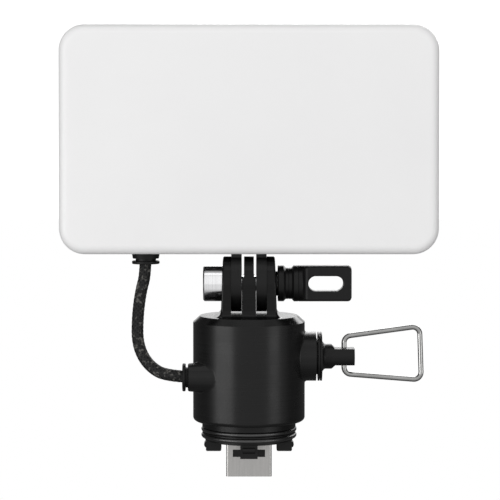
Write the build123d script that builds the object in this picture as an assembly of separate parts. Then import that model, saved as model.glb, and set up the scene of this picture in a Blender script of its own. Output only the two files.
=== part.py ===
from build123d import *
import math
import os

os.makedirs("parts", exist_ok=True)

# LED panel light head on a plug-in barrel. Millimetres, +Z up, front is -Y.
# The origin is the centre of the barrel's bottom seat face.

# ---------------- driving dimensions ----------------
# barrel
BARREL_R = 14.76
BARREL_WALL_TOP = 26.1
CAP_TOP = 27.7
CAP_FLAT_R = 12.98
BARREL_BORE_R = 12.6
BOARD_LEDGE_Z = 4.5
LEDGE_BORE_R = 11.3
FLOOR_Z = 2.6
SEAT_RECESS_R = 12.9
SEAT_RECESS_H = 0.8
FLOOR_HOLE_R = 7.0
# hinge between the fork and the panel lug
HINGE_Z = 36.2
FINGER_R = 7.1
# outer faces of the fork, drafted: half width at the cap and at the top of the fingers
FINGER_X_ROOT = 7.36
FINGER_X_TOP = 6.83
HEAD_SEAT_X = 7.05
FINGER_INNER_X = 4.7
MID_TOP_X = 1.29
MID_STEP_X = 1.82
MID_ROOT_X = 1.86
MID_STEP_Z = 37.7
SLOT_FLOOR_Z = 28.45
FOOT_FILLET = 1.8
PRONG_R = 7.45
PRONG_IN = 1.92
PRONG_OUT = 4.65
BOLT_R = 2.0
FORK_BORE_R = 2.04
PRONG_BORE_R = 2.05
# clamp knob on the bolt
HEAD_R = 4.75
HEAD_X0 = -12.05
KNOB_X0 = 7.6
WASHER_R = 3.3
KNOB_R = 4.8
KNOB_END = 27.08
TAB_HALF_T = 2.0
TAB_SLOT_X0 = 15.66
TAB_SLOT_X1 = 24.94
TAB_SLOT_H = 3.93
INSERT_R = 3.2
# panel
PANEL_W = 99.6
PANEL_H = 60.2
PANEL_ZC = 74.2
PANEL_CORNER = 6.8
PANEL_FRONT = -6.0
PANEL_SEAM = -3.2
PANEL_BACK = 6.0
PANEL_WALL = 2.0
PILLOW_R = 2.5
# cable and glands
CABLE_R = 1.6
GLAND_BORE_R = 1.63
PANEL_GLAND = (-27.3, 0.9)
BOSS_L = (-7.8, 12.25)
BOSS_L_R = 3.65
BOSS_L_X = -15.86
BOSS_L_ROOT_R = 4.15
BOSS_L_ROOT_X = -9.0
# dimmer
DIM_Z = 16.85
BOSS_R_R = 6.45
BOSS_R_X = 17.7
SHAFT_R = 2.0
STEM_R = 3.3
STEM_FLAT = 2.15
STEM_END = 27.87
BAIL_X = 25.15
WIRE_R = 0.675
# spigot
SPIGOT_R = 12.35
SPIGOT_BOTTOM = -5.1
SPIGOT_CAVITY_R = 10.2
O_RING_R = 12.0
O_RING_r = 0.6
O_RING_Z = (-2.25, -3.84)
LUG_BOTTOM = -7.98
FRONT_LUG_BOTTOM = -8.54
LUG_W = 4.5
LUG_IN = 7.3
LUG_OUT = 11.35
NUB_R_OUT = 11.85
NUB_Z = -6.35
# USB-A plug
USB_W = 12.0
USB_T = 4.5
USB_WALL = 0.3
USB_TIP = -14.73
USB_TOP = 1.6

PANEL_BOTTOM = PANEL_ZC - PANEL_H / 2


# ---------------- helpers ----------------
def box(x0, x1, y0, y1, z0, z1):
    return Pos((x0 + x1) / 2, (y0 + y1) / 2, (z0 + z1) / 2) * Box(x1 - x0, y1 - y0, z1 - z0)


def xcyl(r, x0, x1, y=0.0, z=0.0):
    return Pos((x0 + x1) / 2, y, z) * Rot(0, 90, 0) * Cylinder(r, x1 - x0)


def ycyl(r, y0, y1, x=0.0, z=0.0):
    return Pos(x, (y0 + y1) / 2, z) * Rot(90, 0, 0) * Cylinder(r, y1 - y0)


def zcyl(r, z0, z1, x=0.0, y=0.0):
    return Pos(x, y, (z0 + z1) / 2) * Cylinder(r, z1 - z0)


def rev_x(pts, y=0.0, z=0.0):
    # pts are (x, r); turned about the X axis
    face = make_face(Plane.XZ * Polyline(*[(a, b) for a, b in pts], close=True))
    return Pos(0, y, z) * revolve(face, Axis.X, 360)


def rev_z(pts, x=0.0, y=0.0):
    # pts are (r, z); turned about the Z axis
    face = make_face(Plane.XZ * Polyline(*[(a, b) for a, b in pts], close=True))
    return Pos(x, y, 0) * revolve(face, Axis.Z, 360)


def rrect_y(w, h, r, y0, y1, zc=PANEL_ZC):
    # rounded rectangle in XZ, running from y0 to y1
    return Pos(0, y1, zc) * extrude(Plane.XZ * RectangleRounded(w, h, r), amount=y1 - y0)


def fuse(items):
    out = items[0]
    for i in items[1:]:
        out = out + i
    return out


def try_fillet(shape, edges, radii):
    for r in radii:
        try:
            got = fillet(edges, r)
            if got.is_valid and got.volume > 0:
                return got
        except Exception:
            pass
    print("fillet left sharp")
    return shape


def one(name, shape):
    solids = shape.solids()
    shape = solids[0] if len(solids) == 1 else Compound(children=list(solids))
    export_step(shape, "parts/" + name + ".step")
    b = shape.bounding_box()
    print(
        "%-22s solids %3d vol %10.2f  x %7.2f %7.2f  y %7.2f %7.2f  z %7.2f %7.2f"
        % (name, len(solids), sum(s.volume for s in solids), b.min.X, b.max.X, b.min.Y, b.max.Y, b.min.Z, b.max.Z)
    )


# ---------------- barrel housing ----------------
shell = zcyl(BARREL_R, 0, BARREL_WALL_TOP)
shell = fillet(shell.edges().group_by(Axis.Z)[0], 1.0)
left_boss = rev_x([(BOSS_L_X, 0), (BOSS_L_X, BOSS_L_R - 0.25), (BOSS_L_X + 0.25, BOSS_L_R), (BOSS_L_ROOT_X, BOSS_L_ROOT_R), (-6.0, BOSS_L_ROOT_R), (-6.0, 0)], *BOSS_L)
right_boss = xcyl(BOSS_R_R, 6.0, BOSS_R_X, 0, DIM_Z)
body = shell + left_boss + right_boss


def root_edges(shape, x_sign, near):
    found = []
    for e in shape.edges():
        if e.geom_type in (GeomType.LINE, GeomType.CIRCLE):
            continue
        c = e.center()
        if c.X * x_sign > 0 and abs(c.Z - near) < 5:
            found.append(e)
    return found


body = try_fillet(body, root_edges(body, -1, BOSS_L[1]), (0.8, 0.5, 0.3))
body = try_fillet(body, root_edges(body, 1, DIM_Z), (0.6, 0.4, 0.25))
cavity = zcyl(BARREL_BORE_R, BOARD_LEDGE_Z, BARREL_WALL_TOP + 1) + zcyl(LEDGE_BORE_R, FLOOR_Z, BOARD_LEDGE_Z + 0.5)
# flat pad inside the wall for the bushing nut
pad = xcyl(6.3, 11.4, 14.0, 0, DIM_Z)
body = body - (cavity - pad)
body = body - zcyl(FLOOR_HOLE_R, -1, FLOOR_Z + 1) - zcyl(SEAT_RECESS_R, -1, SEAT_RECESS_H)
body = body - xcyl(2.25, BOSS_L_X - 1, -8.0, *BOSS_L)
body = body - xcyl(3.5, 9.0, BOSS_R_X + 1, 0, DIM_Z)
SCREW_XY = [(9.2 * math.cos(math.radians(a)), 9.2 * math.sin(math.radians(a))) for a in (45, 135, 225, 315)]
for sx, sy in SCREW_XY:
    body = body - zcyl(1.1, SEAT_RECESS_H - 1, FLOOR_Z + 1, sx, sy)
# radial holes at the back for the cap's grub screws
CAP_SCREW_ANGLES = (55, 125)
CAP_SCREW_Z = 25.1


def radial(r, r0, r1, ang, z):
    return Rot(0, 0, ang) * xcyl(r, r0, r1, 0, z)


for a in CAP_SCREW_ANGLES:
    body = body - radial(0.82, 12.0, 16.0, a, CAP_SCREW_Z - 0.3)
one("barrel_housing", body)

# ---------------- fork cap ----------------
cap = rev_z([(0, BARREL_WALL_TOP), (BARREL_R, BARREL_WALL_TOP), (CAP_FLAT_R, CAP_TOP), (0, CAP_TOP)])
cap = cap + (zcyl(12.55, 23.5, BARREL_WALL_TOP) - zcyl(10.6, 23.0, BARREL_WALL_TOP))
# fingers: a drafted wedge seen from the front, a stadium seen from the side
TOP_Z = HINGE_Z + FINGER_R
wedge = extrude(
    make_face(
        Plane.XZ
        * Polyline(
            (-FINGER_X_ROOT, CAP_TOP - 0.2), (FINGER_X_ROOT, CAP_TOP - 0.2), (FINGER_X_TOP, TOP_Z + 0.5), (-FINGER_X_TOP, TOP_Z + 0.5), close=True
        )
    ),
    amount=14,
    both=True,
)
stadium = box(-9, 9, -FINGER_R, FINGER_R, CAP_TOP - 0.2, HINGE_Z) + xcyl(FINGER_R, -9, 9, 0, HINGE_Z)
fork = wedge & stadium
tops = [e for e in fork.edges() if e.center().Z > HINGE_Z + 1 and abs(e.center().X) > FINGER_X_TOP - 0.3 and e.geom_type != GeomType.LINE]
fork = try_fillet(fork, tops, (0.5, 0.35, 0.2))
cap = cap + fork
foot = [
    e
    for e in cap.edges()
    if abs(e.center().Z - CAP_TOP) < 0.01 and abs(e.center().X) < FINGER_X_ROOT + 0.05 and abs(e.center().Y) < FINGER_R + 0.05
]
cap = try_fillet(cap, foot, (FOOT_FILLET, 1.5, 1.2, 0.8))
# the two slots beside a middle finger that is thinner above the hinge than at its root
for s in (-1, 1):
    outline = [
        (s * MID_ROOT_X, SLOT_FLOOR_Z),
        (s * FINGER_INNER_X, SLOT_FLOOR_Z),
        (s * FINGER_INNER_X, HINGE_Z + 9),
        (s * MID_TOP_X, HINGE_Z + 9),
        (s * MID_TOP_X, MID_STEP_Z + 0.5),
        (s * MID_STEP_X, MID_STEP_Z),
    ]
    face = make_face(Plane.XZ * Polyline(*outline, close=True))
    slot = extrude(face, amount=14, both=True)
    cap = cap - slot
cap = cap - xcyl(FORK_BORE_R, -10, 10, 0, HINGE_Z)
cap = cap - xcyl(WASHER_R + 0.12, 6.8, 9.0, 0, HINGE_Z)
cap = cap - xcyl(HEAD_R + 0.15, -9.0, -HEAD_SEAT_X, 0, HINGE_Z)
for a in CAP_SCREW_ANGLES:
    cap = cap - radial(0.82, 10.0, 13.5, a, CAP_SCREW_Z - 0.3)
one("fork_cap", cap)
one(
    "cap_screws",
    Compound(
        children=[
            (radial(0.8, 11.2, 14.3, a, CAP_SCREW_Z - 0.3) - radial(0.4, 13.5, 14.4, a, CAP_SCREW_Z - 0.3)).solids()[0]
            for a in CAP_SCREW_ANGLES
        ]
    ),
)

# ---------------- cross bolt ----------------
head = xcyl(HEAD_R, HEAD_X0, -HEAD_SEAT_X, 0, HINGE_Z)
head = chamfer(head.edges().group_by(Axis.X)[0], 0.35)
bolt = head + xcyl(BOLT_R, -HEAD_SEAT_X - 0.5, 13.6, 0, HINGE_Z)
hexagon = Pos(HEAD_X0 - 0.1, 0, HINGE_Z) * Rot(0, 90, 0) * extrude(RegularPolygon(2.9, 6), amount=2.7)
bolt = bolt - hexagon
one("clamp_bolt", bolt)

# ---------------- washer, knob and its insert ----------------
one("clamp_washer", xcyl(WASHER_R, 6.83, KNOB_X0 - 0.04, 0, HINGE_Z) - xcyl(2.1, 6, 8, 0, HINGE_Z))
knob = rev_x(
    [
        (KNOB_X0, 0),
        (KNOB_X0, 4.6),
        (KNOB_X0 + 0.18, 4.78),
        (9.1, 4.78),
        (9.25, 4.65),
        (9.7, 4.15),
        (10.35, 4.15),
        (10.42, 4.08),
        (10.5, 4.08),
        (10.57, 4.15),
        (11.3, 4.15),
        (11.85, 4.8),
        (12.9, 4.8),
        (12.98, 4.72),
        (13.06, 4.72),
        (13.14, 4.8),
        (KNOB_END, 4.8),
        (KNOB_END, 0),
    ],
    0,
    HINGE_Z,
)
# the two cheeks milled away to leave the flat tab, with a concave shoulder
for s in (-1, 1):
    cut = box(15.9, 30, s * TAB_HALF_T if s > 0 else -8, 8 if s > 0 else -TAB_HALF_T, HINGE_Z - 6, HINGE_Z + 6)
    shoulder = box(14.3, 16.0, s * (TAB_HALF_T + 1.6) if s > 0 else -8, 8 if s > 0 else -(TAB_HALF_T + 1.6), HINGE_Z - 6, HINGE_Z + 6)
    round_ = Pos(15.9, s * (TAB_HALF_T + 1.6), HINGE_Z) * Cylinder(1.6, 12)
    knob = knob - cut - shoulder - round_
ends = [e for e in knob.edges() if abs(e.center().X - KNOB_END) < 0.01 and abs(abs(e.center().Z - HINGE_Z) - 4.8) < 0.6]
knob = try_fillet(knob, ends, (1.0, 0.7, 0.4))
r = TAB_SLOT_H / 2
knob = knob - box(TAB_SLOT_X0 + r, TAB_SLOT_X1 - r, -6, 6, HINGE_Z - r, HINGE_Z + r)
knob = knob - ycyl(r, -6, 6, TAB_SLOT_X0 + r, HINGE_Z) - ycyl(r, -6, 6, TAB_SLOT_X1 - r, HINGE_Z)
# softened rim all round the tab and its slot
rim = [e for e in knob.edges() if abs(abs(e.center().Y) - TAB_HALF_T) < 0.02 and e.center().X > 16.2]
knob = try_fillet(knob, rim, (0.4, 0.3, 0.2, 0.12))
knob = knob - xcyl(INSERT_R + 0.01, KNOB_X0 - 1, 13.9, 0, HINGE_Z)
one("clamp_knob", knob)
one("knob_insert", xcyl(INSERT_R, KNOB_X0, 13.9, 0, HINGE_Z) - xcyl(BOLT_R + 0.04, 7, 14.5, 0, HINGE_Z))

# ---------------- panel: cover, housing, gasket ----------------
cover = rrect_y(PANEL_W, PANEL_H, PANEL_CORNER, PANEL_FRONT, PANEL_SEAM)
cover = try_fillet(cover, cover.edges().group_by(Axis.Y)[0], (PILLOW_R, 2.2, 1.8))
CAV_W, CAV_H, CAV_R = PANEL_W - 2 * PANEL_WALL, PANEL_H - 2 * PANEL_WALL, PANEL_CORNER - PANEL_WALL
cover = cover + rrect_y(CAV_W - 0.2, CAV_H - 0.2, CAV_R - 0.1, PANEL_SEAM - 0.1, -1.7)
cover = cover - rrect_y(93.0, 53.6, 3.5, -4.5, 0)
POST = [(sx * 43.6, PANEL_ZC + sz * 23.9) for sx in (-1, 1) for sz in (-1, 1)]
for px, pz in POST:
    cover = cover + ycyl(2.4, -4.7, 1.9, px, pz)
    cover = cover - ycyl(1.27, -3.0, 3.0, px, pz)
# the skirt is interrupted where the lug's flange and the cable gland pass
cover = cover - box(-9.8, 9.8, PANEL_SEAM, 0, 45.0, 47.9)
cover = cover - box(PANEL_GLAND[0] - 3.3, PANEL_GLAND[0] + 3.3, PANEL_SEAM, 0, 45.0, 47.9)
one("diffuser_cover", cover)

back = rrect_y(PANEL_W, PANEL_H, PANEL_CORNER, PANEL_SEAM, PANEL_BACK)
back = try_fillet(back, back.edges().group_by(Axis.Y)[-1], (2.0, 1.5))
back = back - rrect_y(CAV_W, CAV_H, CAV_R, PANEL_SEAM - 1, PANEL_BACK - PANEL_WALL)
back = back - (rrect_y(98.44, 59.04, 6.22, PANEL_SEAM - 0.5, -2.7) - rrect_y(96.76, 57.36, 5.38, PANEL_SEAM - 1, -2.0))
for px, pz in POST:
    back = back + ycyl(2.4, 1.9, 4.5, px, pz)
    back = back - ycyl(1.35, 1.0, 7.0, px, pz) - ycyl(2.4, 4.5, 7.0, px, pz)
for i in range(-6, 7):
    gx = i * 6.0
    back = back - box(gx - 0.8, gx + 0.8, 5.1, 7, PANEL_ZC - 19, PANEL_ZC + 19)
    for s in (-1, 1):
        back = back - ycyl(0.8, 5.1, 7, gx, PANEL_ZC + s * 19)
for s in (-1, 1):
    back = back - box(min(s * 1.74, s * 4.70), max(s * 1.74, s * 4.70), -2.65, 3.95, 43, 46.5)
    back = back - zcyl(1.02, 44.5, 46.5, s * 7.2, 0.65)
back = back - zcyl(2.62, 43, 47, *PANEL_GLAND)
one("back_housing", back)
one("seal_gasket", rrect_y(98.4, 59.0, 6.2, PANEL_SEAM, -2.7) - rrect_y(96.8, 57.4, 5.4, PANEL_SEAM - 1, -2))
one(
    "back_screws",
    Compound(
        children=[
            (ycyl(2.25, 4.5, 5.8, px, pz) + ycyl(1.25, -2.5, 4.6, px, pz) - box(px - 1.3, px + 1.3, 5.3, 6, pz - 0.25, pz + 0.25)
             - box(px - 0.25, px + 0.25, 5.3, 6, pz - 1.3, pz + 1.3)).solids()[0]
            for px, pz in POST
        ]
    ),
)

# ---------------- panel insides ----------------
BZ0, BZ1 = 48.2, 102.0
BZC, BH = (BZ0 + BZ1) / 2, BZ1 - BZ0


def notched(shape):
    for px, pz in POST:
        sx = 1 if px > 0 else -1
        sz = 1 if pz > PANEL_ZC else -1
        shape = shape - box(min(px - sx * 2.8, sx * 60), max(px - sx * 2.8, sx * 60), -5, 5, min(pz - sz * 2.8, pz + sz * 9), max(pz - sz * 2.8, pz + sz * 9))
    return shape


one("led_board", notched(box(-47.4, 47.4, 0.5, 2.1, BZ0, BZ1)))
one("reflector_frame", notched(box(-47.4, 47.4, -1.6, 0.5, BZ0, BZ1)) - box(-39.8, 39.8, -5, 5, BZ0 + 6.0, BZ1 - 6.0))
chips = []
for i in range(9):
    for j in range(5):
        chips.append(box(-1.75 + (i - 4) * 8.4, 1.75 + (i - 4) * 8.4, -0.2, 0.5, -1.4 + BZC + (j - 2) * 8.2, 1.4 + BZC + (j - 2) * 8.2))
one("led_chips", Compound(children=[c.solids()[0] for c in chips]))
one("thermal_pad", box(-35, 35, 2.1, 4.0, PANEL_ZC - 19, PANEL_ZC + 19))

# ---------------- panel lug ----------------
lug = []
for s in (-1, 1):
    x0, x1 = min(s * PRONG_IN, s * PRONG_OUT), max(s * PRONG_IN, s * PRONG_OUT)
    lug.append(xcyl(PRONG_R, x0, x1, 0, HINGE_Z))
    lug.append(box(x0, x1, -2.6, 3.9, HINGE_Z, 46.2))
lug.append(box(-9.5, 9.5, -2.6, 3.9, PANEL_BOTTOM + PANEL_WALL, 47.6))
lug = fuse(lug) - xcyl(PRONG_BORE_R, -6, 6, 0, HINGE_Z)
for s in (-1, 1):
    lug = lug - rev_z([(0, 45), (1.05, 45), (1.05, 46.6), (1.95, 47.6), (1.95, 48), (0, 48)], s * 7.2, 0.65)
one("panel_lug", lug)
one(
    "lug_screws",
    Compound(children=[rev_z([(0, 44.6), (1.0, 44.6), (1.0, 46.6), (1.9, 47.6), (0, 47.6)], s * 7.2, 0.65).solids()[0] for s in (-1, 1)]),
)

# ---------------- glands ----------------
g = rev_z(
    [
        (GLAND_BORE_R, 41.3),
        (3.5, 41.3),
        (3.65, 41.45),
        (3.65, 41.95),
        (3.5, 42.1),
        (2.7, 42.1),
        (2.7, 42.75),
        (3.45, 42.75),
        (3.7, 44.1),
        (2.58, 44.1),
        (2.58, 46.1),
        (2.9, 46.1),
        (2.7, 47.0),
        (GLAND_BORE_R, 47.0),
    ],
    *PANEL_GLAND,
)
one("panel_cable_gland", g)
g = rev_x(
    [
        (-17.29, GLAND_BORE_R),
        (-17.29, 3.48),
        (-17.14, 3.63),
        (-16.66, 3.63),
        (-16.51, 3.48),
        (-16.51, 2.64),
        (-15.86, 2.64),
        (-15.86, 2.22),
        (-9.2, 2.22),
        (-9.2, GLAND_BORE_R),
    ],
    *BOSS_L,
)
one("barrel_cable_gland", g)

# ---------------- cable ----------------
# Control points of the lead's route; runs between them are joined by tangent arcs.
ROUTE = [
    (-27.30, 0.90, 46.80),
    (-27.30, 0.90, 38.74),
    (-28.60, 0.21, 34.04),
    (-29.35, -1.47, 27.66),
    (-29.27, -4.03, 20.31),
    (-26.27, -6.10, 15.00),
    (-20.84, -7.80, 12.25),
    (-10.00, -7.80, 12.25),
]


def route_radii(pts):
    out = []
    for i in range(1, len(pts) - 1):
        a, b, c = (Vector(*pts[k]) for k in (i - 1, i, i + 1))
        u, v = (a - b), (c - b)
        turn = math.pi - math.acos(max(-1, min(1, u.normalized().dot(v.normalized()))))
        out.append(0.45 * min(u.length, v.length) / math.tan(turn / 2))
    return out


RADII = route_radii(ROUTE)
print("cable radii", [round(x, 2) for x in RADII])
print("cable runs", [round((Vector(*ROUTE[i + 1]) - Vector(*ROUTE[i])).length, 2) for i in range(len(ROUTE) - 1)])
path = FilletPolyline(*ROUTE, radius=RADII)
start = Plane(origin=ROUTE[0], z_dir=(Vector(*ROUTE[1]) - Vector(*ROUTE[0])))
cable = sweep(start * Circle(CABLE_R), path=path)
print("cable length %.2f, volume %.2f, section x length %.2f" % (path.length, cable.volume, math.pi * CABLE_R**2 * path.length))
one("cable", cable)

# ---------------- dimmer: bushing, gasket, nut, potentiometer ----------------
one("bushing_gasket", xcyl(4.75, BOSS_R_X, 18.2, 0, DIM_Z) - xcyl(3.5, 17, 19, 0, DIM_Z))
bush = rev_x(
    [(8.6, SHAFT_R + 0.04), (8.6, 3.45), (18.2, 3.45), (18.2, 6.45), (18.6, 6.45), (18.6, 5.6), (18.82, 5.6), (18.82, 6.45), (19.25, 6.45), (19.25, SHAFT_R + 0.04)],
    0,
    DIM_Z,
)
one("dimmer_bushing", bush)
nut = Pos(9.4, 0, DIM_Z) * Rot(0, 90, 0) * extrude(RegularPolygon(5.7, 6), amount=2.0) - xcyl(3.47, 9, 12, 0, DIM_Z)
one("bushing_nut", nut)
one("potentiometer_body", xcyl(6.2, 2.6, 8.6, 0, DIM_Z) - xcyl(SHAFT_R + 0.04, 5.0, 9, 0, DIM_Z))

# ---------------- dimmer: shaft, knob, set screw ----------------
one("dimmer_shaft", xcyl(SHAFT_R, 5.2, 21.9, 0, DIM_Z))
dk = rev_x([(19.33, 0), (19.33, 4.1), (19.6, 3.75), (19.85, 3.45), (20.1, STEM_R), (27.6, STEM_R), (STEM_END, 3.05), (STEM_END, 0)], 0, DIM_Z)
for s in (-1, 1):
    outline = [(21.7, s * STEM_R), (22.7, s * STEM_FLAT), (30, s * STEM_FLAT), (30, s * 5), (21.7, s * 5)]
    face = make_face(Plane.XZ * Polyline(*outline, close=True))
    dk = dk - Pos(0, 0, DIM_Z) * extrude(face, amount=6, both=True)
dk = dk - xcyl(SHAFT_R + 0.02, 19, 21.95, 0, DIM_Z) - zcyl(WIRE_R + 0.05, 10, 24, BAIL_X, 0) - ycyl(0.82, 1.5, 4, 20.8, DIM_Z)
one("dimmer_knob", dk)
one("dimmer_set_screw", ycyl(0.8, 2.05, 3.2, 20.8, DIM_Z) - ycyl(0.4, 2.8, 3.4, 20.8, DIM_Z))

# ---------------- wire bail ----------------
BAIL = [(BAIL_X, 0, 17.05), (BAIL_X, 0, 22.09), (45.13, 0, 24.84), (45.62, 0, 10.56), (BAIL_X, 0, 12.18), (BAIL_X, 0, 16.65)]
bail_path = FilletPolyline(*BAIL, radius=1.9)
bail = sweep(Plane(origin=BAIL[0], z_dir=(0, 0, 1)) * Circle(WIRE_R), path=bail_path)
print("bail length %.2f, volume %.2f, section x length %.2f" % (bail_path.length, bail.volume, math.pi * WIRE_R**2 * bail_path.length))
one("wire_bail", bail)

# ---------------- electronics in the barrel ----------------
one("driver_board", zcyl(12.3, BOARD_LEDGE_Z, BOARD_LEDGE_Z + 1.2))
bt = BOARD_LEDGE_Z + 1.2
one(
    "driver_components",
    Compound(
        children=[
            zcyl(2.5, bt, bt + 8.0, -3.2, 6.2).solids()[0],
            box(-8.6, -3.6, -3.2, 1.8, bt, bt + 4.0).solids()[0],
            box(-1.5, 3.0, -3.0, 1.0, bt, bt + 1.4).solids()[0],
            zcyl(2.0, bt, bt + 2.8, 6.0, -5.6).solids()[0],
        ]
    ),
)

# ---------------- spigot ----------------
z1, z2 = O_RING_Z
sp = rev_z(
    [
        (0, SPIGOT_BOTTOM),
        (11.45, SPIGOT_BOTTOM),
        (11.65, -4.95),
        (11.65, -4.75),
        (11.87, -4.65),
        (11.87, z2 - 0.65),
        (11.38, z2 - 0.65),
        (11.38, z2 + 0.65),
        (12.3, z2 + 0.65),
        (12.3, z1 - 0.65),
        (11.38, z1 - 0.65),
        (11.38, z1 + 0.65),
        (SPIGOT_R, z1 + 0.65),
        (SPIGOT_R, 0.1),
        (12.8, 0.1),
        (12.8, SEAT_RECESS_H),
        (SPIGOT_CAVITY_R, SEAT_RECESS_H),
        (SPIGOT_CAVITY_R, -3.9),
        (0, -3.9),
    ]
)
for k in range(4):
    # the lug at the front is a little longer than the other three
    low = FRONT_LUG_BOTTOM if k == 3 else LUG_BOTTOM
    lug1 = box(LUG_IN, LUG_OUT, -LUG_W / 2, LUG_W / 2, low, SPIGOT_BOTTOM + 0.2)
    lug1 = chamfer(lug1.edges().filter_by(Axis.Y).group_by(Axis.Z)[0], 0.25)
    nub = ycyl(0.9, -1.6, 1.6, NUB_R_OUT - 0.9, NUB_Z)
    sp = sp + Rot(0, 0, 90 * k) * (lug1 + nub)
for sx, sy in SCREW_XY:
    sp = sp + zcyl(1.9, -4.0, SEAT_RECESS_H, sx, sy)
    sp = sp - zcyl(1.02, -3.2, 2, sx, sy)
sp = sp - box(-6.05, 6.05, -2.3, 2.3, -6, -3)
one("plug_spigot", sp)
one(
    "spigot_screws",
    Compound(
        children=[
            (zcyl(1.8, FLOOR_Z, 3.8, sx, sy) + zcyl(1.0, -3.0, FLOOR_Z + 0.1, sx, sy) - box(sx - 1.1, sx + 1.1, sy - 0.2, sy + 0.2, 3.3, 4)).solids()[0]
            for sx, sy in SCREW_XY
        ]
    ),
)
for nm, zz in (("o_ring_upper", z1), ("o_ring_lower", z2)):
    one(nm, Pos(0, 0, zz) * Torus(O_RING_R, O_RING_r))

# ---------------- USB-A plug ----------------
def tube_rect(w, t, r, z0, z1_):
    return Pos(0, 0, z0) * extrude(RectangleRounded(w, t, r), amount=z1_ - z0)


us = tube_rect(USB_W, USB_T, 0.6, USB_TIP, USB_TOP) - tube_rect(USB_W - 2 * USB_WALL, USB_T - 2 * USB_WALL, 0.3, USB_TIP - 1, USB_TOP + 1)
for s in (-1, 1):
    us = us - box(min(s * 1.75, s * 4.25), max(s * 1.75, s * 4.25), -4, 4, -9.54, -7.6)
us = us - ycyl(0.35, -3, -USB_T / 2 + 0.08, 3.4, -10.9)
one("usb_shell", us)
one("usb_carrier", box(-7.8, 7.8, -4.0, 4.0, -3.9, SEAT_RECESS_H - 0.05) - tube_rect(USB_W + 0.04, USB_T + 0.04, 0.6, -5, 3))
iw, it = USB_W / 2 - USB_WALL - 0.03, USB_T / 2 - USB_WALL - 0.03
tongue = tube_rect(2 * iw, 2 * it, 0.28, -4.6, USB_TOP) + box(-5.55, 5.55, -it, -0.1, -14.33, -4.5)
one("usb_tongue", tongue)
one(
    "usb_contacts",
    Compound(children=[box(cx - 0.5, cx + 0.5, -0.1, 0.02, -13.7 if abs(cx) > 2 else -12.7, -5.2).solids()[0] for cx in (-3.5, -1.0, 1.0, 3.5)]),
)
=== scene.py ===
import math

import bpy
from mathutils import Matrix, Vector


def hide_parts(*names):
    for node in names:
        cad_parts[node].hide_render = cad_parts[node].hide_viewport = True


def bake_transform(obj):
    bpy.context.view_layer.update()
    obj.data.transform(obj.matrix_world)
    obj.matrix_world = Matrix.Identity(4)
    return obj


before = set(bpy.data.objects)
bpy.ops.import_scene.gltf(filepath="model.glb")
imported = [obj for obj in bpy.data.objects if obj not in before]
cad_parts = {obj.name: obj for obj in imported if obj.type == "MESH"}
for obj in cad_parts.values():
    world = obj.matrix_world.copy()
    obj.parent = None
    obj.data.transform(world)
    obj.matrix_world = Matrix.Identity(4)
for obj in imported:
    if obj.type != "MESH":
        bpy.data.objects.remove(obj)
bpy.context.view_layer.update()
scene = bpy.context.scene
scene.view_settings.view_transform = "Standard"

# ------------------------------------------------------------------ camera
FOCAL_PX = 1834.0
DISTANCE = 0.484
EYE_Z = 0.0742
SHIFT = 0.125
PITCH = math.atan((250.0 - 139.4 - SHIFT * 500.0) / FOCAL_PX)
cam_data = bpy.data.cameras.new("camera")
cam_data.sensor_width = 36.0
cam_data.lens = FOCAL_PX * 36.0 / 500.0
cam_data.shift_y = -SHIFT
cam_data.clip_start = 0.01
cam_data.clip_end = 20.0
cam = bpy.data.objects.new("camera", cam_data)
scene.collection.objects.link(cam)
cam.location = (0.00028, -DISTANCE, EYE_Z)
cam.rotation_euler = (math.radians(90) - PITCH, 0, 0)
scene.camera = cam

# ------------------------------------------------------------------ lead
ROUTE = [
    (-27.30, 0.90, 46.80),
    (-27.30, 0.90, 38.74),
    (-28.60, 0.21, 34.04),
    (-29.35, -1.47, 27.66),
    (-29.27, -4.03, 20.31),
    (-26.27, -6.10, 15.00),
    (-20.84, -7.80, 12.25),
    (-10.00, -7.80, 12.25),
]
CABLE_D = 0.0032


def nurbs_points(name, points, resolution=24):
    curve = bpy.data.curves.new(name, "CURVE")
    curve.dimensions = "3D"
    curve.resolution_u = resolution
    spline = curve.splines.new("NURBS")
    spline.points.add(len(points) - 1)
    for p, q in zip(spline.points, points):
        p.co = (q[0], q[1], q[2], 1.0)
    spline.order_u = 3
    spline.use_endpoint_u = True
    obj = bpy.data.objects.new(name, curve)
    scene.collection.objects.link(obj)
    bpy.context.view_layer.update()
    mesh = bpy.data.meshes.new_from_object(obj.evaluated_get(bpy.context.evaluated_depsgraph_get()))
    out = [v.co.copy() for v in mesh.vertices]
    bpy.data.meshes.remove(mesh)
    bpy.data.objects.remove(obj)
    bpy.data.curves.remove(curve)
    return out


def resample(points, step):
    total, marks = 0.0, [0.0]
    for a, b in zip(points[:-1], points[1:]):
        total += (b - a).length
        marks.append(total)
    n = max(2, int(total / step))
    out, k = [], 0
    for i in range(n + 1):
        s = total * i / n
        while k < len(marks) - 2 and marks[k + 1] < s:
            k += 1
        span = max(marks[k + 1] - marks[k], 1e-12)
        out.append(points[k].lerp(points[k + 1], (s - marks[k]) / span))
    return out, total


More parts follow.
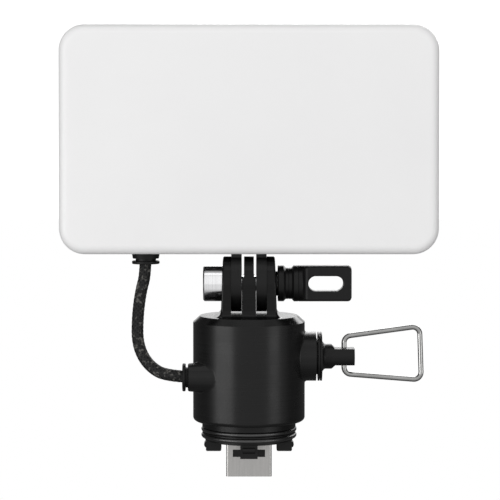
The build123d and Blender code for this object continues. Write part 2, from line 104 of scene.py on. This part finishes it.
def braided_tube(name, points, radius, strands=8, lead=0.0095, around=72):
    """A tube whose surface is a two-way braid, with the strands as real relief."""
    verts, faces, uvs = [], [], []
    n = len(points)
    tangent = (points[1] - points[0]).normalized()
    side = tangent.orthogonal().normalized()
    travelled = 0.0
    for i in range(n):
        if i:
            travelled += (points[i] - points[i - 1]).length
        ahead = points[min(i + 1, n - 1)] - points[max(i - 1, 0)]
        new = ahead.normalized()
        side = (tangent.rotation_difference(new) @ side).normalized()
        tangent = new
        up = tangent.cross(side).normalized()
        for j in range(around):
            t = 2 * math.pi * j / around
            a = strands * t + 2 * math.pi * strands * travelled / lead
            b = strands * t - 2 * math.pi * strands * travelled / lead
            over = math.sin(a / 2) * math.sin(b / 2)
            first = abs(math.cos(a / 2)) * (0.86 + 0.14 * over)
            second = abs(math.cos(b / 2)) * (0.86 - 0.14 * over)
            height = max(first, second)
            r = radius - 0.00016 * (1.0 - height)
            verts.append(points[i] + (side * math.cos(t) + up * math.sin(t)) * r)
    for i in range(n - 1):
        for j in range(around):
            k = (j + 1) % around
            faces.append((i * around + j, i * around + k, (i + 1) * around + k, (i + 1) * around + j))
            uvs.append(((j, i), (j + 1, i), (j + 1, i + 1), (j, i + 1)))
    faces.append(tuple(reversed(range(around))))
    faces.append(tuple(range((n - 1) * around, n * around)))
    mesh = bpy.data.meshes.new(name)
    mesh.from_pydata([tuple(v) for v in verts], [], faces)
    layer = mesh.uv_layers.new(name="UVMap")
    step = travelled / (n - 1)
    for f, quad in enumerate(uvs):
        loops = mesh.polygons[f].loop_indices
        for loop, (j, i) in zip(loops, quad):
            # u counts strands round the tube, v counts strands along it
            layer.data[loop].uv = (strands * j / around, strands * i * step / lead)
    for p in mesh.polygons:
        p.use_smooth = len(p.vertices) == 4
    mesh.update()
    obj = bpy.data.objects.new(name, mesh)
    scene.collection.objects.link(obj)
    return obj


route_m = [tuple(c / 1000.0 for c in p) for p in ROUTE]
centre_line, cord_length = resample(nurbs_points("route", route_m), 0.0002)
lead = braided_tube("braided_lead", centre_line, CABLE_D / 2)

# ------------------------------------------------------------------ materials
def new_material(name, colour, rough, metal=0.0, spec=0.5):
    mat = bpy.data.materials.new(name)
    mat.use_nodes = True
    tree = mat.node_tree
    bsdf = tree.nodes["Principled BSDF"]
    bsdf.inputs["Base Color"].default_value = (*colour, 1.0)
    bsdf.inputs["Roughness"].default_value = rough
    bsdf.inputs["Metallic"].default_value = metal
    bsdf.inputs["Specular IOR Level"].default_value = spec
    coord = tree.nodes.new("ShaderNodeTexCoord")
    return mat, tree, bsdf, coord.outputs["Object"]


def scaled(tree, vector, scale):
    node = tree.nodes.new("ShaderNodeMapping")
    node.inputs["Scale"].default_value = scale
    tree.links.new(vector, node.inputs["Vector"])
    return node.outputs["Vector"]


def noise(tree, vector, scale, detail=4.0, rough=0.55):
    node = tree.nodes.new("ShaderNodeTexNoise")
    node.inputs["Scale"].default_value = scale
    node.inputs["Detail"].default_value = detail
    node.inputs["Roughness"].default_value = rough
    tree.links.new(vector, node.inputs["Vector"])
    return node.outputs["Fac"]


def ramp(tree, fac, stops):
    node = tree.nodes.new("ShaderNodeValToRGB")
    el = node.color_ramp.elements
    while len(el) < len(stops):
        el.new(0.5)
    for e, (p, c) in zip(el, stops):
        e.position = p
        e.color = (*c, 1.0) if len(c) == 3 else c
    tree.links.new(fac, node.inputs["Fac"])
    return node.outputs["Color"]


def spread(tree, fac, lo, hi, a=0.3, b=0.7):
    node = tree.nodes.new("ShaderNodeMapRange")
    node.inputs["From Min"].default_value = a
    node.inputs["From Max"].default_value = b
    node.inputs["To Min"].default_value = lo
    node.inputs["To Max"].default_value = hi
    tree.links.new(fac, node.inputs["Value"])
    return node.outputs["Result"]


def bump(tree, bsdf, fac, distance, strength=0.5, after=None):
    node = tree.nodes.new("ShaderNodeBump")
    node.inputs["Distance"].default_value = distance
    node.inputs["Strength"].default_value = strength
    tree.links.new(fac, node.inputs["Height"])
    if after is not None:
        tree.links.new(after, node.inputs["Normal"])
    tree.links.new(node.outputs["Normal"], bsdf.inputs["Normal"])
    return node.outputs["Normal"]


def grey(v):
    return (v, v, v * 1.01)


def streaked(name, low, high, rough, stretch, metal=0.0, spacing=1.0, depth=0.00002, strength=0.35, spec=0.5):
    """Machined or drawn finish: streaks run where stretch is small and cross where it is large."""
    mat, tree, bsdf, at = new_material(name, high, sum(rough) / 2, metal, spec)
    fine = noise(tree, scaled(tree, at, tuple(s * spacing for s in stretch)), 1.0, 3.0, 0.6)
    broad = noise(tree, at, 160.0, 3.0)
    tree.links.new(ramp(tree, fine, [(0.3, low), (0.7, high)]), bsdf.inputs["Base Color"])
    tree.links.new(spread(tree, broad, *rough), bsdf.inputs["Roughness"])
    bump(tree, bsdf, fine, depth, strength)
    return mat


def grained(name, low, high, rough, scale=2600.0, depth=0.00003, strength=0.4, metal=0.0, spec=0.5):
    """Moulded or cast finish: a fine even grain with slow variation of colour over it."""
    mat, tree, bsdf, at = new_material(name, high, sum(rough) / 2, metal, spec)
    slow = noise(tree, at, 90.0, 4.0)
    fine = noise(tree, at, scale, 3.0, 0.6)
    tree.links.new(ramp(tree, slow, [(0.3, low), (0.7, high)]), bsdf.inputs["Base Color"])
    tree.links.new(spread(tree, fine, *rough), bsdf.inputs["Roughness"])
    bump(tree, bsdf, fine, depth, strength)
    return mat


turned_z = streaked("turned_black", grey(0.0055), grey(0.0105), (0.25, 0.31), (60, 60, 6500), depth=0.000004, strength=0.25, spec=0.2)
cap_black = streaked("cap_black", grey(0.0035), grey(0.0060), (0.16, 0.22), (60, 60, 6500), depth=0.000002, strength=0.2, spec=0.16)
turned_x = streaked("turned_black_x", grey(0.0040), grey(0.0075), (0.28, 0.36), (6500, 60, 60), depth=0.000006, strength=0.3, spec=0.2)
moulded = grained("moulded_black", grey(0.0045), grey(0.0075), (0.30, 0.40), depth=0.000006, strength=0.3, spec=0.2)
cast_black = grained("cast_black", grey(0.010), grey(0.016), (0.38, 0.50), 1800.0, 0.00003, spec=0.35)
rubber = grained("rubber_black", grey(0.0040), grey(0.0065), (0.40, 0.52), 2200.0, depth=0.000008, strength=0.3, spec=0.2)
ring_rubber = grained("ring_rubber", grey(0.0040), grey(0.0070), (0.26, 0.34), 3000.0, 0.000004, 0.2, spec=0.9)
steel = streaked("polished_steel", (0.78, 0.78, 0.79), (0.90, 0.90, 0.91), (0.12, 0.19), (5200, 90, 90), 1.0, 1.0, 0.000006, 0.25)
wire = streaked("drawn_wire", (0.31, 0.31, 0.305), (0.37, 0.37, 0.365), (0.15, 0.20), (300, 300, 300), 1.0, 1.0, 0.0000005, 0.04)
nickel = streaked("nickel_plate", (0.40, 0.395, 0.385), (0.455, 0.445, 0.435), (0.30, 0.40), (2600, 90, 90), 1.0, 1.0, 0.000003, 0.15)
screw = grained("zinc_screw", (0.34, 0.34, 0.35), (0.46, 0.46, 0.47), (0.28, 0.40), 3000.0, 0.00001, 0.3, 1.0)
brass = streaked("machined_brass", (0.55, 0.40, 0.16), (0.72, 0.54, 0.24), (0.24, 0.34), (5200, 90, 90), 1.0)
gold = grained("gold_contact", (0.72, 0.50, 0.18), (0.84, 0.62, 0.26), (0.2, 0.3), 3000.0, 0.000005, 0.2, 1.0)
white = grained("white_moulding", (0.74, 0.74, 0.73), (0.82, 0.82, 0.81), (0.4, 0.5))
phosphor = grained("phosphor", (0.78, 0.62, 0.14), (0.88, 0.74, 0.24), (0.4, 0.5))
pad = grained("thermal_pad", (0.34, 0.36, 0.40), (0.42, 0.44, 0.48), (0.7, 0.8))
board = grained("board_green", (0.015, 0.10, 0.04), (0.03, 0.16, 0.07), (0.3, 0.4))

# opal cover: satin translucent plastic
opal, tree, bsdf, at = new_material("opal_cover", (0.83, 0.828, 0.83), 0.42)
slow = noise(tree, at, 22.0, 3.0)
fine = noise(tree, at, 3200.0, 2.0, 0.6)
tree.links.new(ramp(tree, slow, [(0.25, (0.815, 0.812, 0.815)), (0.75, (0.842, 0.840, 0.840))]), bsdf.inputs["Base Color"])
tree.links.new(spread(tree, fine, 0.38, 0.47), bsdf.inputs["Roughness"])
bsdf.inputs["Subsurface Weight"].default_value = 0.25
bsdf.inputs["Subsurface Radius"].default_value = (0.002, 0.002, 0.002)
bsdf.inputs["Subsurface Scale"].default_value = 1.0
bsdf.inputs["Specular IOR Level"].default_value = 0.35
bump(tree, bsdf, fine, 0.00001, 0.2)

# braid: dark strands with painted shade, darker in the gaps between strands and lighter on their crowns, with
# scattered grey flecks
braid, tree, bsdf, at = new_material("braid", grey(0.02), 0.62, spec=0.2)
coords = tree.nodes["Texture Coordinate"].outputs["UV"]
split = tree.nodes.new("ShaderNodeSeparateXYZ")
tree.links.new(coords, split.inputs[0])


def math_node(op, a, b=None):
    node = tree.nodes.new("ShaderNodeMath")
    node.operation = op
    for k, v in ((0, a), (1, b)):
        if v is None:
            continue
        if isinstance(v, (int, float)):
            node.inputs[k].default_value = v
        else:
            tree.links.new(v, node.inputs[k])
    return node.outputs[0]


plus = math_node("MULTIPLY", math_node("ADD", split.outputs[0], split.outputs[1]), math.pi)
minus = math_node("MULTIPLY", math_node("SUBTRACT", split.outputs[0], split.outputs[1]), math.pi)
# mask of painted shade: 1 on the strand crowns, lower in the gaps between strands, following the real relief
painted_gap_shade = math_node("MAXIMUM", math_node("ABSOLUTE", math_node("COSINE", plus)), math_node("ABSOLUTE", math_node("COSINE", minus)))
flecks = noise(tree, at, 900.0, 2.0, 0.7)
fleck = spread(tree, flecks, 0.0, 1.0, 0.55, 0.66)
# painted shade: the gaps between strands are painted darker and the strand crowns lighter
braid_painted_shade_colour = ramp(tree, painted_gap_shade, [(0.35, grey(0.0015)), (1.0, grey(0.014))])
mix = tree.nodes.new("ShaderNodeMix")
mix.data_type = "RGBA"
tree.links.new(fleck, mix.inputs["Factor"])
tree.links.new(braid_painted_shade_colour, mix.inputs["A"])
mix.inputs["B"].default_value = (0.105, 0.102, 0.094, 1.0)
tree.links.new(mix.outputs["Result"], bsdf.inputs["Base Color"])
bump(tree, bsdf, noise(tree, at, 6000.0, 2.0), 0.00003, 0.5)

LOOKS = {
    "barrel_housing": turned_z,
    "fork_cap": cap_black,
    "cap_screws": screw,
    "clamp_bolt": steel,
    "barrel_cable_gland": rubber,
    "bushing_gasket": rubber,
    "dimmer_bushing": turned_x,
    "bushing_nut": screw,
    "potentiometer_body": moulded,
    "driver_board": board,
    "driver_components": moulded,
    "plug_spigot": moulded,
    "spigot_screws": screw,
    "o_ring_upper": ring_rubber,
    "o_ring_lower": ring_rubber,
    "usb_carrier": moulded,
    "usb_shell": nickel,
    "usb_tongue": moulded,
    "usb_contacts": gold,
    "diffuser_cover": opal,
    "back_housing": cast_black,
    "seal_gasket": rubber,
    "reflector_frame": white,
    "led_board": white,
    "led_chips": phosphor,
    "thermal_pad": pad,
    "back_screws": screw,
    "panel_lug": moulded,
    "lug_screws": screw,
    "panel_cable_gland": rubber,
    "clamp_washer": moulded,
    "clamp_knob": turned_x,
    "knob_insert": brass,
    "dimmer_knob": moulded,
    "dimmer_shaft": screw,
    "dimmer_set_screw": screw,
    "wire_bail": wire,
}
for node, look in LOOKS.items():
    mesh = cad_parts[node].data
    mesh.materials.clear()
    mesh.materials.append(look)

lead.data.materials.append(braid)
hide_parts("cable")
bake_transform(lead)

# ------------------------------------------------------------------ floor and light
def seen_by_camera(tree):
    return tree.nodes.new("ShaderNodeLightPath").outputs["Is Camera Ray"]


def ranged(tree, value, lo, hi, out_lo, out_hi):
    node = tree.nodes.new("ShaderNodeMapRange")
    node.interpolation_type = "SMOOTHSTEP"
    node.inputs["From Min"].default_value = lo
    node.inputs["From Max"].default_value = hi
    node.inputs["To Min"].default_value = out_lo
    node.inputs["To Max"].default_value = out_hi
    tree.links.new(value, node.inputs["Value"])
    return node.outputs["Result"]


def combine(tree, op, a, b):
    node = tree.nodes.new("ShaderNodeMath")
    node.operation = op
    for k, v in ((0, a), (1, b)):
        if isinstance(v, (int, float)):
            node.inputs[k].default_value = v
        else:
            tree.links.new(v, node.inputs[k])
    return node.outputs[0]


# a white floor: pure white far off, with a soft shadow left close to the object,
# and less bright than it looks where it lights the object from below
FLOOR_BOUNCE = 0.80
FLOOR_BOUNCE_BEHIND = 0.10
bpy.ops.mesh.primitive_plane_add(size=8.0, location=(0, 0, -0.120))
floor = bpy.context.object
floor.name = "floor"
mat = bpy.data.materials.new("floor")
mat.use_nodes = True
tree = mat.node_tree
bsdf = tree.nodes["Principled BSDF"]
bsdf.inputs["Base Color"].default_value = (0.93, 0.93, 0.93, 1)
bsdf.inputs["Roughness"].default_value = 0.9
glow = tree.nodes.new("ShaderNodeEmission")
glow.inputs["Color"].default_value = (1, 1, 1, 1)
at = tree.nodes.new("ShaderNodeTexCoord").outputs["Object"]
place = tree.nodes.new("ShaderNodeSeparateXYZ")
tree.links.new(at, place.inputs[0])
bounce = ranged(tree, place.outputs[1], -0.28, 0.02, FLOOR_BOUNCE, FLOOR_BOUNCE_BEHIND)
tree.links.new(combine(tree, "MAXIMUM", bounce, seen_by_camera(tree)), glow.inputs["Strength"])
length = tree.nodes.new("ShaderNodeVectorMath")
length.operation = "LENGTH"
tree.links.new(at, length.inputs[0])
fade = ranged(tree, length.outputs["Value"], 0.0, 0.16, 0.90, 1.0)
both = tree.nodes.new("ShaderNodeMixShader")
tree.links.new(fade, both.inputs[0])
tree.links.new(bsdf.outputs[0], both.inputs[1])
tree.links.new(glow.outputs[0], both.inputs[2])
tree.links.new(both.outputs[0], tree.nodes["Material Output"].inputs["Surface"])
floor.data.materials.append(mat)

# white surroundings in front and a white patch behind, with dark sides that keep the edges dark
world = bpy.data.worlds.new("studio")
scene.world = world
world.use_nodes = True
tree = world.node_tree
back = tree.nodes["Background"]
split = tree.nodes.new("ShaderNodeSeparateXYZ")
tree.links.new(tree.nodes.new("ShaderNodeTexCoord").outputs["Generated"], split.inputs[0])
front = ranged(tree, split.outputs[1], -0.75, -0.05, 1.03, 0.08)
behind = ranged(tree, split.outputs[1], 0.90, 0.975, 0.0, 1.15)
above = ranged(tree, split.outputs[2], 0.35, 0.9, 0.0, 0.32)
room = combine(tree, "MAXIMUM", combine(tree, "MAXIMUM", front, behind), above)
camera_ray = seen_by_camera(tree)
tree.links.new(combine(tree, "MAXIMUM", room, camera_ray), back.inputs["Strength"])
back.inputs["Color"].default_value = (1, 1, 1, 1)


def softbox(name, place, aim, size, power):
    data = bpy.data.lights.new(name, "AREA")
    data.shape = "RECTANGLE"
    data.size, data.size_y = size
    data.energy = power
    obj = bpy.data.objects.new(name, data)
    scene.collection.objects.link(obj)
    obj.location = place
    obj.rotation_euler = (Vector(aim) - Vector(place)).to_track_quat("-Z", "Y").to_euler()
    return obj


softbox("key_left", (-0.475, -0.365, -0.010), (0, 0, 0.015), (0.44, 0.20), 1.05)
softbox("fill_right", (0.475, -0.365, -0.010), (0, 0, 0.015), (0.24, 0.20), 0.32)
softbox("top", (0, -0.15, 0.70), (0, 0, 0.04), (0.5, 0.4), 0.5)
softbox("rear", (0.22, 0.62, 0.42), (0, 0, 0.05), (0.6, 0.45), 3.5)
